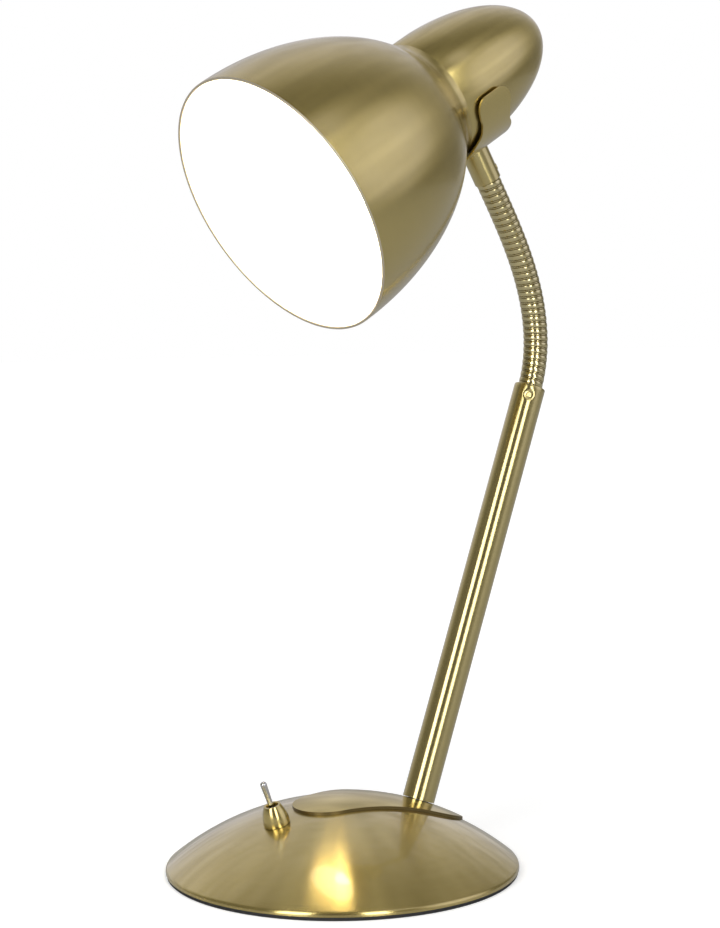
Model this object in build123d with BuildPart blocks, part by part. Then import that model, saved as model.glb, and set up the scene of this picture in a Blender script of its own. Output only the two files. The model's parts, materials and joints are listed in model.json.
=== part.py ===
"""Desk lamp: domed base, leaning column, flexible ribbed neck and a bell-shaped head.

Millimetres. The origin is the centre of the base on the table, +Z is up, the shade opens towards -Y
and the column leans back towards +Y. The lamp is symmetric about the plane X = 0.
"""
from build123d import *
from math import acos, asin, atan2, cos, degrees, radians, sin, sqrt, tan
import os

os.makedirs("parts", exist_ok=True)

# Fits between pieces
seat_gap = 0.05          # curved faces that rest on each other
slip_fit = 0.05          # radial play of a turned piece in its bore
hole_play = 0.2          # radial play of a fastener in its clearance hole

# Base
base_radius = 85.0
dome_height = 34.0       # crown above the table
dome_wall = 1.0
rim_height = 3.6         # where the spherical top meets the upright rim
rim_rounding = 2.4
pad_inset = 0.5          # pad inside the rim
pad_thickness = 1.8
cover_thickness = 1.0
cover_play = 0.3         # bottom cover inside the rim
weight_play = 0.6         # cast weight inside the cord bush
weight_thickness = 8.0
post_count = 4
post_inset = 13.0        # post axis inside the weight's edge
post_radius = 4.0
post_start = 45.0        # degrees from +X
screw_radius = 2.0
screw_head_radius = 3.6
screw_head_height = 1.4
screw_bite = 5.0         # thread length inside a post

# Leaf-shaped plate under the column: a small round nose and a large round lobe
plate_thickness = 1.4
nose_offset = 8.0        # nose centre in front of the crown
nose_radius = 17.3
lobe_offset = 40.0       # lobe centre behind the crown
lobe_radius = 27.2

# Column
foot_offset = 46.5       # column foot behind the crown
column_length = 215.7
column_radius = 8.0
column_wall = 1.0
plug_length = 16.0
nipple_radius = 5.0
nipple_bore = 3.5
nipple_drop = 11.0       # thread below the dome
nut_width = 14.0         # across flats
nut_height = 5.0
washer_radius = 9.0
washer_thickness = 1.2
neck_shank = 20.0        # length of the neck's end inside the column
column_screw_drop = 5.5  # below the column's top
column_screw_angle = -36.0
set_screw_radius = 2.0
set_screw_length = 3.5
set_screw_sink = 0.5     # screw face below the column's surface
set_screw_rise = 0.3     # screw face above the stem's surface

# Flexible neck
rib_pitch = 3.37
ribs_per_link = 3
link_count = 10
rib_radius = 6.2         # round wire
rib_width = 1.6
rib_crest = 1.1
filler_radius = 5.95     # narrow wire between the round ones
filler_width = 1.1
filler_crest = 0.5
valley_radius = 5.7
neck_bore = 2.6
ball_radius = 4.2
ball_depth = 2.8         # ball below its own centre
ball_play = 0.08
link_opening = 8.5       # degrees that each end face falls away from square
head_tilt = 31.03        # head axis above the horizontal, degrees

# Stem and bracket
stem_radius = 6.8
stem_wall = 1.2
stem_length = 17.0
stem_screw_height = 5.0  # above the stem's lower end
stem_screw_angle = 53.0
stem_shank = 7.0         # length of the neck's end inside the stem
stem_nipple_grip = 6.5   # thread inside the stem
stem_nut_width = 12.0
stem_nut_height = 2.4
bracket_radius = 33.6    # inside of the saddle
bracket_wall = 1.0
strap_shift = 2.6        # strap's middle in front of the stem
ear_drop = 4.6           # top of the ear below the head axis
ear_width = 22.0
ear_height = 14.4
ear_rounding = 6.5
strap_width = 20.2
strap_foot_radius = 15.5
strap_rounding = 6.0
pin_drop = 15.0          # pivot below the head axis
pin_radius = 2.4
pin_reach = 20.5         # inner end of the pin from the middle plane
pivot_nut_width = 7.0
pivot_nut_height = 2.8
pivot_nut_seat = 24.3    # outer face of the pivot nut from the middle plane
bush_radius = 3.6
bush_play = 0.2          # pivot nut to bush

# Head: stations are measured along the head axis from the rim of the shade
bell_radius = 66.3
bell_length = 104.0
bell_station = 4.0       # widest place of the bell
shade_wall = 0.8
rim_bead = 0.7
collar_radius = 31.8
waist_radius = 8.0
seam_station = 100.0
collar_end = 108.0
housing_radius = 32.0
housing_length = 70.0
housing_station = 112.0  # widest place of the rear housing
housing_wall = 0.8
oval_steps = 4           # points along its curve
tip_flat = 1.2           # flat spot at the very back, where the spinning ends
stem_station = 117.6     # stem and pivot
slot_width = 16.5
slot_length = 22.0

# Lampholder and bulb
holder_plate_station = 128.0
holder_plate_thickness = 1.2
holder_radius = 19.5
holder_mouth = 82.0
holder_shoulder = 118.0
holder_tail_radius = 12.0
holder_floor = 108.0
holder_bore = 14.6
shell_wall = 0.6
holder_nipple_grip = 5.0
holder_nipple_tail = 7.0
holder_nut_height = 3.0
contact_radius = 4.0
contact_height = 1.6
cap_radius = 13.3
cap_lip = 2.0            # cap in front of the holder
cap_grip = 3.0           # glass inside the cap
cap_taper = 3.0
bulb_radius = 22.5
bulb_station = 46.0
bulb_neck_radius = 12.6
bulb_neck_rounding = 8.0
glass_wall = 0.8

# Switch
switch_offset = 38.0     # in front of the crown
collar_base = 6.4
collar_belly = 6.1
collar_belly_height = 3.8
collar_mouth = 4.0
collar_height = 9.6
mouth_radius = 2.9
mouth_rounding = 0.5
bushing_radius = 3.0
bushing_bore = 2.2
bushing_height = 6.6
bushing_tail = 5.0
switch_nut_width = 8.0
switch_nut_height = 1.8
switch_body_width = 8.0
switch_body_length = 13.0
switch_body_depth = 9.0
body_rounding = 0.6
terminal_width = 2.4
terminal_thickness = 0.8
terminal_length = 4.0
terminal_pitch = 4.7
terminal_count = 3
lever_pivot_height = 3.2
lever_ball_radius = 2.15
lever_reach = 19.2       # tip from the pivot
lever_neck_radius = 1.05
lever_tip_radius = 1.6
lever_tail = 3.4
lever_throw = 5.0        # degrees each way

# Wiring in the base
cord_bush_radius = 3.1
cord_bush_bore = 2.5
cord_bush_height = 7.3   # axis above the table
cord_bush_flange = 4.2
cord_bush_flange_thickness = 1.6
cord_bush_lip = 0.3      # outer end above the dome
cord_bush_depth = 16.4   # inner end inside the rim
block_length = 22.0
block_width = 10.0
block_height = 9.0
block_hole_radius = 1.8
block_hole_depth = 3.0
block_ways = 3
block_offset = 24.0      # block centre beside the middle plane

# Values that follow from the sizes above
crown_rise = dome_height - rim_height
dome_radius = (base_radius**2 + crown_rise**2) / (2 * crown_rise)
dome_centre = dome_height - dome_radius
pad_radius = base_radius - pad_inset
dome_lift = pad_thickness + seat_gap    # lower edge of the rim
cord_bush_root = base_radius - cord_bush_depth
weight_radius = cord_bush_root - weight_play
post_circle = weight_radius - post_inset
column_lean = degrees(asin(foot_offset / dome_radius))
column_bore = column_radius - column_wall
stem_bore = stem_radius - stem_wall
link_length = rib_pitch * ribs_per_link
joint_count = link_count + 1
neck_turn = column_lean + head_tilt
cover_base = pad_thickness
weight_base = cover_base + cover_thickness
weight_top = weight_base + weight_thickness
head_drop = bracket_radius + bracket_wall


def dome_plane(offset, rise=0.0):
    """Plane that touches the dome at Y = offset, raised along the dome's normal."""
    normal = Vector(0, offset / dome_radius, sqrt(1 - (offset / dome_radius) ** 2))
    origin = Vector(0, 0, dome_centre) + normal * (dome_radius + rise)
    return Plane(origin=origin, x_dir=(1, 0, 0), z_dir=normal)


def section_plane(plane):
    """Plane through a turned piece's axis: local X is the radius, local Y runs along the axis."""
    return Plane(origin=plane.origin, x_dir=plane.x_dir, z_dir=plane.y_dir * -1)


def axis_of(plane):
    return Axis(plane.origin, plane.z_dir)


def leaning_plane(origin, lean):
    """Plane square to a direction that leans back by so many degrees from the vertical."""
    direction = Vector(0, sin(radians(lean)), cos(radians(lean)))
    return Plane(origin=origin, x_dir=(1, 0, 0), z_dir=direction)


def side_plane(plane, height, angle):
    """Plane square to a radius of a tube, at a height on its axis and an angle from local X."""
    direction = plane.x_dir * cos(radians(angle)) + plane.y_dir * sin(radians(angle))
    return Plane(origin=plane.origin + plane.z_dir * height, x_dir=plane.z_dir, z_dir=direction)


def sag(sphere_radius, radius):
    """How far a sphere falls away at a distance from the point where it touches a plane."""
    return sphere_radius - sqrt(sphere_radius**2 - radius**2)


def on_axis(edge, radius):
    """Whether an edge is a circle of this radius about the vertical axis."""
    centred = abs(edge.arc_center.X) + abs(edge.arc_center.Y) < slip_fit
    return centred and abs(edge.radius - radius) < slip_fit


def save(name, piece):
    piece.part.label = name
    export_step(piece.part, f"parts/{name}.step")


def head_circle(piece, radius, station):
    """Edge of a turned piece of the head at this radius and this station."""
    spot = head_section.from_local_coords(Vector(radius, station, 0))
    return piece.edges().sort_by(lambda edge: edge.distance_to(spot))[0]


# Places of the main pieces
column_plane = dome_plane(foot_offset, plate_thickness + 2 * seat_gap)
column_top = column_plane.offset(column_length)
switch_plane = dome_plane(-switch_offset)

# Each joint of the neck turns a little less than the one below it, and the last one is straight
turn_step = 2 * neck_turn / (joint_count * (joint_count - 1))
link_planes = []
lean = column_lean
centre = column_top.origin + column_top.z_dir * link_length / 2
for joint in range(joint_count):
    lean -= turn_step * (joint_count - 1 - joint)
    link_planes.append(leaning_plane(centre, lean))
    centre = centre + link_planes[-1].z_dir * link_length
stem_plane = link_planes[-1].offset(link_length / 2)
bracket_plane = stem_plane.offset(stem_length)
head_axis_point = bracket_plane.offset(head_drop).origin
head_direction = Vector(0, cos(radians(head_tilt)), sin(radians(head_tilt)))
head_plane = Plane(
    origin=head_axis_point - head_direction * stem_station, x_dir=(1, 0, 0), z_dir=head_direction
)
head_section = section_plane(head_plane)
pivot_side = Plane(origin=head_axis_point, x_dir=head_direction, z_dir=(1, 0, 0))
strap_side = Plane(
    origin=head_axis_point - head_direction * strap_shift, x_dir=head_direction, z_dir=(1, 0, 0)
)
switch_axis = axis_of(switch_plane)
column_screw_plane = side_plane(column_top, -column_screw_drop, column_screw_angle).offset(
    column_radius - set_screw_sink
)
stem_screw_plane = side_plane(stem_plane, stem_screw_height, stem_screw_angle).offset(
    stem_radius + set_screw_rise
)
switch_lean = degrees(asin(switch_offset / dome_radius))
lever_plane = leaning_plane(
    switch_plane.offset(lever_pivot_height).origin, -switch_lean - lever_throw
)

# Base dome: a spun shell with a short turned-down rim
rim_angle = degrees(acos(base_radius / dome_radius))
inner_dome = dome_radius - dome_wall
inner_rim = base_radius - dome_wall
inner_angle = degrees(acos(inner_rim / inner_dome))
with BuildPart() as base_dome:
    with BuildSketch(Plane.XZ):
        with BuildLine():
            crown = CenterArc((0, dome_centre), dome_radius, rim_angle, 90 - rim_angle)
            under = CenterArc((0, dome_centre), inner_dome, inner_angle, 90 - inner_angle)
            Line(crown @ 1, under @ 1)
            Polyline(crown @ 0, (base_radius, dome_lift), (inner_rim, dome_lift), under @ 0)
        make_face()
    revolve(axis=Axis.Z)
    circles = base_dome.edges().filter_by(GeomType.CIRCLE)
    rim_circles = circles.filter_by(lambda edge: on_axis(edge, base_radius))
    fillet(rim_circles.sort_by(Axis.Z)[-1], rim_rounding)
    with BuildSketch(column_plane.offset(-nipple_drop)):
        Circle(nipple_radius + hole_play)
    extrude(amount=2 * nipple_drop, mode=Mode.SUBTRACT)
    with BuildSketch(switch_plane.offset(-bushing_tail)):
        Circle(bushing_radius + hole_play)
    extrude(amount=2 * bushing_tail, mode=Mode.SUBTRACT)
    with BuildSketch(Plane.XZ.offset(-cord_bush_root)):
        with Locations((0, cord_bush_height)):
            Circle(cord_bush_radius + slip_fit)
    extrude(amount=cord_bush_root - base_radius, mode=Mode.SUBTRACT)
save("base_dome", base_dome)

# Leaf-shaped plate that lies on the dome under the column
with BuildPart() as leaf_plate:
    with BuildSketch():
        with Locations((0, -nose_offset)):
            Circle(nose_radius)
        with Locations((0, lobe_offset)):
            Circle(lobe_radius)
        make_hull()
    extrude(amount=2 * dome_height)
    with Locations((0, 0, dome_centre)):
        Sphere(dome_radius + seat_gap + plate_thickness, mode=Mode.INTERSECT)
        Sphere(dome_radius + seat_gap, mode=Mode.SUBTRACT)
    with BuildSketch(column_plane.offset(-nipple_drop)):
        Circle(nipple_radius + hole_play)
    extrude(amount=2 * nipple_drop, mode=Mode.SUBTRACT)
save("leaf_plate", leaf_plate)


def base_screw_places():
    return PolarLocations(post_circle, post_count, post_start)


def countersink(play, mode=Mode.ADD):
    """Head of a countersunk screw, its flat face at the level of the placing point."""
    Cone(
        screw_head_radius + play,
        screw_radius + play,
        screw_head_height,
        align=(Align.CENTER, Align.CENTER, Align.MIN),
        mode=mode,
    )


def screw_shank(length, play, mode=Mode.ADD):
    Cylinder(screw_radius + play, length, align=(Align.CENTER, Align.CENTER, Align.MIN), mode=mode)


# Cast weight that keeps the lamp upright
with BuildPart() as base_weight:
    with BuildSketch(Plane.XY.offset(weight_base)):
        Circle(weight_radius)
    extrude(amount=weight_thickness)
    fillet(base_weight.edges().group_by(Axis.Z)[-1], rim_rounding)
    with BuildSketch(Plane.XY.offset(cover_base)) as weight_holes:
        with base_screw_places():
            Circle(screw_radius + hole_play)
    extrude(amount=cover_thickness + weight_thickness, mode=Mode.SUBTRACT)
    with base_screw_places():
        with Locations((0, 0, cover_base)):
            countersink(slip_fit, Mode.SUBTRACT)
save("base_weight", base_weight)

# Threaded posts between the dome and the weight
with BuildPart() as dome_posts:
    with BuildSketch(Plane.XY.offset(weight_top)):
        with base_screw_places():
            Circle(post_radius)
    extrude(amount=dome_height)
    with Locations((0, 0, dome_centre)):
        Sphere(inner_dome - seat_gap, mode=Mode.INTERSECT)
    with BuildSketch(Plane.XY.offset(weight_top)):
        with base_screw_places():
            Circle(screw_radius + slip_fit)
    extrude(amount=screw_bite + seat_gap, mode=Mode.SUBTRACT)
save("dome_posts", dome_posts)

with BuildPart() as bottom_cover:
    with BuildSketch(Plane.XY.offset(cover_base)):
        Circle(inner_rim - cover_play)
    extrude(amount=cover_thickness)
    with base_screw_places():
        with Locations((0, 0, cover_base)):
            countersink(slip_fit, Mode.SUBTRACT)
save("bottom_cover", bottom_cover)

with BuildPart() as cover_screws:
    with base_screw_places():
        with Locations((0, 0, cover_base)):
            countersink(0)
            screw_shank(weight_top - cover_base + screw_bite, 0)
save("cover_screws", cover_screws)

with BuildPart() as foot_pad:
    with BuildSketch():
        Circle(pad_radius)
    extrude(amount=pad_thickness)
save("foot_pad", foot_pad)

# Column: a plain tube whose foot follows the plate, with a plug that takes the hollow stud
plate_top = dome_radius + plate_thickness + 2 * seat_gap
with BuildPart() as column_tube:
    with BuildSketch(column_plane.offset(-plate_thickness)):
        Circle(column_radius)
        Circle(column_bore, mode=Mode.SUBTRACT)
    extrude(amount=column_length + plate_thickness)
    with Locations((0, 0, dome_centre)):
        Sphere(plate_top, mode=Mode.SUBTRACT)
    with BuildSketch(side_plane(column_top, -column_screw_drop, column_screw_angle)):
        Circle(set_screw_radius + slip_fit)
    extrude(amount=2 * column_radius, mode=Mode.SUBTRACT)
save("column_tube", column_tube)

with BuildPart() as column_plug:
    with BuildSketch(column_plane.offset(seat_gap)):
        Circle(column_bore - slip_fit)
        Circle(nipple_radius + slip_fit, mode=Mode.SUBTRACT)
    extrude(amount=plug_length)
save("column_plug", column_plug)

with BuildPart() as column_nipple:
    with BuildSketch(column_plane.offset(-nipple_drop)):
        Circle(nipple_radius)
        Circle(nipple_bore, mode=Mode.SUBTRACT)
    extrude(amount=nipple_drop + plug_length)
save("column_nipple", column_nipple)

# Washer and nut that draw the column down on the dome from inside
washer_top = plate_thickness + 2 * seat_gap + dome_wall + sag(inner_dome, washer_radius) + seat_gap
with BuildPart() as column_washer:
    with BuildSketch(column_plane.offset(-washer_top)):
        Circle(washer_radius)
        Circle(nipple_radius + hole_play, mode=Mode.SUBTRACT)
    extrude(amount=-washer_thickness)
save("column_washer", column_washer)

with BuildPart() as column_nut:
    with BuildSketch(column_plane.offset(-washer_top - washer_thickness)):
        RegularPolygon(nut_width / 2, 6, major_radius=False)
        Circle(nipple_radius + slip_fit, mode=Mode.SUBTRACT)
    extrude(amount=-nut_height)
save("column_nut", column_nut)


def set_screw(place):
    """Round-ended set screw whose outer face lies on a plane."""
    with BuildPart() as screw:
        with BuildSketch(place):
            Circle(set_screw_radius)
        extrude(amount=-set_screw_length)
        fillet(screw.edges().sort_by(axis_of(place))[-1], set_screw_radius / 2)
    return screw


column_screw = set_screw(column_screw_plane)
save("column_screw", column_screw)


def rib_points(stations):
    """Crest points of round and filler wires, given as (station, is_round) from bottom to top."""
    points = []
    for station, is_round in stations:
        crest_radius = rib_radius if is_round else filler_radius
        width = rib_width if is_round else filler_width
        crest = rib_crest if is_round else filler_crest
        points += [
            (valley_radius, station - width / 2),
            (crest_radius, station - crest / 2),
            (crest_radius, station + crest / 2),
            (valley_radius, station + width / 2),
        ]
    return points


def wires(first, last):
    """Round wires at every half pitch and filler wires at every whole pitch between two stations."""
    stations = []
    for half in range(2 * ribs_per_link + 1):
        station = half * rib_pitch / 2
        if first < station < last:
            stations.append((station, half % 2 == 1))
    return stations


opening_slope = tan(radians(link_opening))
ball_seat = Vector(ball_radius * cos(radians(link_opening)), ball_radius * sin(radians(link_opening)))
cup_radius = ball_radius + ball_play
cup_seat = Vector(cup_radius * cos(radians(link_opening)), cup_radius * sin(radians(link_opening)))
face_rise = valley_radius * opening_slope
ball_edge = sqrt(ball_radius**2 - ball_depth**2)
cup_floor = sqrt(cup_radius**2 - neck_bore**2)


def ball_end():
    """Lower end of a link: the bore, the ball and the sloping face up to the first valley."""
    middle = radians(link_opening - degrees(asin(ball_depth / ball_radius))) / 2
    Line((neck_bore, -ball_depth), (ball_edge, -ball_depth))
    ThreePointArc(
        (ball_edge, -ball_depth), (ball_radius * cos(middle), ball_radius * sin(middle)), ball_seat
    )
    Line(ball_seat, (valley_radius, face_rise))


def cup_end(top):
    """Upper end of a link: the sloping face and the cup that holds the next link's ball."""
    middle = radians(link_opening + degrees(atan2(cup_floor, neck_bore))) / 2
    Line((valley_radius, top - face_rise), (cup_seat.X, top - cup_seat.Y))
    ThreePointArc(
        (cup_seat.X, top - cup_seat.Y),
        (cup_radius * cos(middle), top - cup_radius * sin(middle)),
        (neck_bore, top - cup_floor),
    )


def ribbed_wall(bottom, stations, top):
    points = [(valley_radius, bottom)] + rib_points(stations) + [(valley_radius, top)]
    Polyline(*points)


# Neck: short ribbed links, each with a ball below and a cup above
for number, plane in enumerate(link_planes[:-1], start=1):
    with BuildPart() as neck_link:
        with BuildSketch(section_plane(plane)):
            with BuildLine():
                ball_end()
                ribbed_wall(face_rise, wires(face_rise, link_length - face_rise), link_length - face_rise)
                cup_end(link_length)
                Line((neck_bore, link_length - cup_floor), (neck_bore, -ball_depth))
            make_face()
        revolve(axis=axis_of(plane))
    save(f"neck_link_{number:02d}", neck_link)

# Lower end of the neck: a shank in the column, half a link of ribs and the first cup
half_link = link_length / 2
with BuildPart() as neck_base_fitting:
    with BuildSketch(section_plane(column_top)):
        with BuildLine():
            upper_wires = wires(half_link, link_length - face_rise)
            half_wires = [(station - half_link, kind) for station, kind in upper_wires]
            ribbed_wall(0, half_wires, half_link - face_rise)
            cup_end(half_link)
            Polyline(
                (neck_bore, half_link - cup_floor),
                (neck_bore, -neck_shank),
                (column_bore - slip_fit, -neck_shank),
                (column_bore - slip_fit, 0),
                (valley_radius, 0),
            )
        make_face()
    revolve(axis=axis_of(column_top))
    with BuildSketch(column_screw_plane.offset(-set_screw_length - seat_gap)):
        Circle(set_screw_radius + slip_fit)
    extrude(amount=2 * set_screw_length, mode=Mode.SUBTRACT)
save("neck_base_fitting", neck_base_fitting)

# Upper end of the neck: the last ball, half a link of ribs and a shank in the stem
with BuildPart() as neck_top_fitting:
    with BuildSketch(section_plane(link_planes[-1])):
        with BuildLine():
            ball_end()
            ribbed_wall(face_rise, wires(face_rise, half_link - filler_width), half_link)
            Polyline(
                (valley_radius, half_link),
                (stem_bore - slip_fit, half_link),
                (stem_bore - slip_fit, half_link + stem_shank),
                (neck_bore, half_link + stem_shank),
                (neck_bore, -ball_depth),
            )
        make_face()
    revolve(axis=axis_of(link_planes[-1]))
    with BuildSketch(stem_screw_plane.offset(-set_screw_length - seat_gap)):
        Circle(set_screw_radius + slip_fit)
    extrude(amount=2 * set_screw_length, mode=Mode.SUBTRACT)
save("neck_top_fitting", neck_top_fitting)

# Stem: a smooth sleeve from the neck to the bracket, its top following the saddle
with BuildPart() as upper_stem:
    with BuildSketch(stem_plane):
        Circle(stem_radius)
        Circle(stem_bore, mode=Mode.SUBTRACT)
    extrude(amount=stem_length + bracket_wall)
    with BuildSketch(head_plane):
        Circle(bracket_radius + bracket_wall + seat_gap)
    extrude(amount=2 * stem_station, mode=Mode.SUBTRACT)
    with BuildSketch(side_plane(stem_plane, stem_screw_height, stem_screw_angle)):
        Circle(set_screw_radius + slip_fit)
    extrude(amount=2 * stem_radius, mode=Mode.SUBTRACT)
save("upper_stem", upper_stem)

stem_screw = set_screw(stem_screw_plane)
save("stem_screw", stem_screw)

# Hollow stud and nut that hold the bracket on the stem
stem_nut_seat = bracket_wall + sag(bracket_radius, stem_nut_width / sqrt(3)) + seat_gap
with BuildPart() as stem_nipple:
    with BuildSketch(bracket_plane.offset(-stem_nipple_grip)):
        Circle(nipple_radius)
        Circle(nipple_bore, mode=Mode.SUBTRACT)
    extrude(amount=stem_nipple_grip + stem_nut_seat + stem_nut_height)
save("stem_nipple", stem_nipple)

with BuildPart() as stem_nut:
    with BuildSketch(bracket_plane.offset(stem_nut_seat)):
        RegularPolygon(stem_nut_width / 2, 6, major_radius=False)
        Circle(nipple_radius + slip_fit, mode=Mode.SUBTRACT)
    extrude(amount=stem_nut_height)
save("stem_nut", stem_nut)

# Saddle bracket: a half-round strap with round ears, and a pivot pin on the inside of each ear
with BuildPart() as pivot_pins:
    with BuildSketch(pivot_side):
        with Locations((0, -pin_drop)):
            Circle(pin_radius)
    extrude(amount=head_drop, both=True)
    with BuildSketch(head_plane):
        Circle(bracket_radius + bracket_wall / 2)
    extrude(amount=2 * stem_station, mode=Mode.INTERSECT)
    with BuildSketch(pivot_side):
        Rectangle(2 * head_drop, 2 * head_drop)
    extrude(amount=pin_reach, both=True, mode=Mode.SUBTRACT)

with BuildPart() as saddle_bracket:
    with BuildSketch(strap_side) as strap_outline:
        with Locations((0, -ear_drop - ear_height / 2)):
            RectangleRounded(ear_width, ear_height, ear_rounding)
        with Locations((0, -head_drop)):
            Circle(strap_foot_radius)
        with Locations((0, -ear_drop - ear_height / 2)):
            Rectangle(strap_width, head_drop - ear_drop, align=(Align.CENTER, Align.MAX))
        corners = [v for v in strap_outline.vertices() if abs(abs(v.X) - strap_width / 2) < slip_fit]
        fillet(corners, strap_rounding)
    extrude(amount=head_drop, both=True)
    with BuildSketch(head_plane):
        Circle(bracket_radius + bracket_wall)
    extrude(amount=2 * stem_station, mode=Mode.INTERSECT)
    with BuildSketch(head_plane):
        Circle(bracket_radius)
    extrude(amount=2 * stem_station, mode=Mode.SUBTRACT)
    with BuildSketch(bracket_plane.offset(-bracket_wall)):
        Circle(nipple_radius + hole_play)
    extrude(amount=stem_nipple_grip, mode=Mode.SUBTRACT)
    add(pivot_pins.part)
save("saddle_bracket", saddle_bracket)

with BuildPart() as pivot_nuts:
    with BuildSketch(pivot_side):
        with Locations((0, -pin_drop)):
            RegularPolygon(pivot_nut_width / 2, 6, major_radius=False)
            Circle(pin_radius + slip_fit, mode=Mode.SUBTRACT)
    extrude(amount=pivot_nut_seat, both=True)
    with BuildSketch(pivot_side):
        Rectangle(2 * head_drop, 2 * head_drop)
    extrude(amount=pivot_nut_seat - pivot_nut_height, both=True, mode=Mode.SUBTRACT)
save("pivot_nuts", pivot_nuts)


def housing_outside(station):
    """Outer radius of the rear housing behind its widest place."""
    return housing_radius * sqrt(1 - ((station - housing_station) / housing_length) ** 2)


# Bushes inside the housing that the pivot pins turn in
with BuildPart() as pivot_bushes:
    with BuildSketch(pivot_side):
        with Locations((0, -pin_drop)):
            Circle(bush_radius)
            Circle(pin_radius + slip_fit, mode=Mode.SUBTRACT)
    extrude(amount=head_drop, both=True)
    with BuildSketch(head_plane):
        Circle(housing_outside(stem_station + bush_radius) - housing_wall - seat_gap)
    extrude(amount=2 * stem_station, mode=Mode.INTERSECT)
    with BuildSketch(pivot_side):
        Rectangle(2 * head_drop, 2 * head_drop)
    extrude(amount=pivot_nut_seat + bush_play, both=True, mode=Mode.SUBTRACT)
save("pivot_bushes", pivot_bushes)

# Shade: a spun bell with a rolled rim and a short collar that enters the housing
rim_turn = degrees(asin(-bell_station / bell_length))
collar_turn = degrees(acos(collar_radius / bell_radius))
lining_radius = bell_radius - shade_wall
lining_length = bell_length - shade_wall
lining_collar = collar_radius - housing_wall - slip_fit - shade_wall
lining_rim = degrees(asin(-bell_station / lining_length))
lining_turn = degrees(acos(lining_collar / lining_radius))
with BuildPart() as shade:
    with BuildSketch(head_section):
        with BuildLine():
            bell = EllipticalCenterArc(
                (0, bell_station),
                bell_radius,
                bell_length,
                start_angle=rim_turn,
                arc_size=collar_turn - rim_turn,
            )
            lining = EllipticalCenterArc(
                (0, bell_station),
                lining_radius,
                lining_length,
                start_angle=lining_rim,
                arc_size=lining_turn - lining_rim,
            )
            Line(bell @ 0, lining @ 0)
            Polyline(
                bell @ 1,
                (collar_radius, seam_station),
                (lining_collar + shade_wall, seam_station),
                (lining_collar + shade_wall, collar_end),
                (lining_collar, collar_end),
                lining @ 1,
            )
        make_face()
        with Locations(((bell @ 0).X - rim_bead, rim_bead / 2)):
            Circle(rim_bead)
    revolve(axis=axis_of(head_plane))
    corner_station = (bell @ 1).Y
    lining_station = (lining @ 1).Y
    fillet(head_circle(shade, collar_radius, corner_station), waist_radius)
    fillet(head_circle(shade, lining_collar, lining_station), waist_radius + shade_wall)
save("shade", shade)


def oval(radius, length):
    """Quarter of an ellipse from the housing's widest place to the flat spot at its back."""
    tip_turn = acos(tip_flat / radius)
    turns = [tip_turn * step / oval_steps for step in range(oval_steps + 1)]
    points = [(radius * cos(turn), housing_station + length * sin(turn)) for turn in turns]
    return Spline(*points, tangents=((0, 1), (-radius * sin(tip_turn), length * cos(tip_turn))))


# Rear housing: a spun cap with the cable slot below and a hole for each pivot pin
with BuildPart() as rear_housing:
    with BuildSketch(head_section):
        with BuildLine():
            back = oval(housing_radius, housing_length)
            inside = oval(housing_radius - housing_wall, housing_length - housing_wall)
            Polyline(back @ 1, (0, (back @ 1).Y), (0, (inside @ 1).Y), inside @ 1)
            Polyline(
                back @ 0,
                (collar_radius, seam_station),
                (collar_radius - housing_wall, seam_station),
                inside @ 0,
            )
        make_face()
    revolve(axis=axis_of(head_plane))
    with BuildSketch(bracket_plane):
        SlotOverall(slot_length, slot_width, rotation=90)
    extrude(amount=head_drop / 2, mode=Mode.SUBTRACT)
    with BuildSketch(pivot_side):
        with Locations((0, -pin_drop)):
            Circle(pin_radius + slip_fit)
    extrude(amount=head_drop, both=True, mode=Mode.SUBTRACT)
save("rear_housing", rear_housing)

# Lampholder on its plate
plate_edge = housing_outside(holder_plate_station + holder_plate_thickness) - housing_wall - 2 * seat_gap
with BuildPart() as holder_plate:
    with BuildSketch(head_plane.offset(holder_plate_station)):
        Circle(plate_edge)
        Circle(nipple_radius + hole_play, mode=Mode.SUBTRACT)
    extrude(amount=holder_plate_thickness)
save("holder_plate", holder_plate)

with BuildPart() as lampholder:
    with BuildSketch(head_section):
        with BuildLine():
            Polyline(
                (nipple_radius + slip_fit, holder_floor + holder_nipple_grip),
                (nipple_radius + slip_fit, holder_plate_station),
                (holder_tail_radius, holder_plate_station),
                (holder_radius, holder_shoulder),
                (holder_radius, holder_mouth),
                (holder_bore, holder_mouth),
                (holder_bore, holder_floor),
                (contact_radius, holder_floor),
                (contact_radius, holder_floor + holder_nipple_grip),
                close=True,
            )
        make_face()
    revolve(axis=axis_of(head_plane))
save("lampholder", lampholder)

with BuildPart() as screw_shell:
    with BuildSketch(head_plane.offset(holder_mouth + holder_nipple_grip / 2)):
        Circle(holder_bore - slip_fit)
        Circle(holder_bore - slip_fit - shell_wall, mode=Mode.SUBTRACT)
    extrude(amount=holder_floor - holder_mouth - holder_nipple_grip / 2)
save("screw_shell", screw_shell)

with BuildPart() as centre_contact:
    with BuildSketch(head_plane.offset(holder_floor - contact_height)):
        Circle(contact_radius - slip_fit)
    extrude(amount=contact_height + holder_nipple_grip / 2)
save("centre_contact", centre_contact)

nipple_front = holder_floor + holder_nipple_grip
nipple_back = holder_plate_station + holder_plate_thickness + holder_nipple_tail
with BuildPart() as holder_nipple:
    with BuildSketch(head_plane.offset(nipple_front)):
        Circle(nipple_radius)
        Circle(nipple_bore, mode=Mode.SUBTRACT)
    extrude(amount=nipple_back - nipple_front)
save("holder_nipple", holder_nipple)

with BuildPart() as holder_nut:
    with BuildSketch(head_plane.offset(holder_plate_station + holder_plate_thickness)):
        RegularPolygon(nut_width / 2, 6, major_radius=False)
        Circle(nipple_radius + slip_fit, mode=Mode.SUBTRACT)
    extrude(amount=holder_nut_height)
save("holder_nut", holder_nut)

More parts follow.
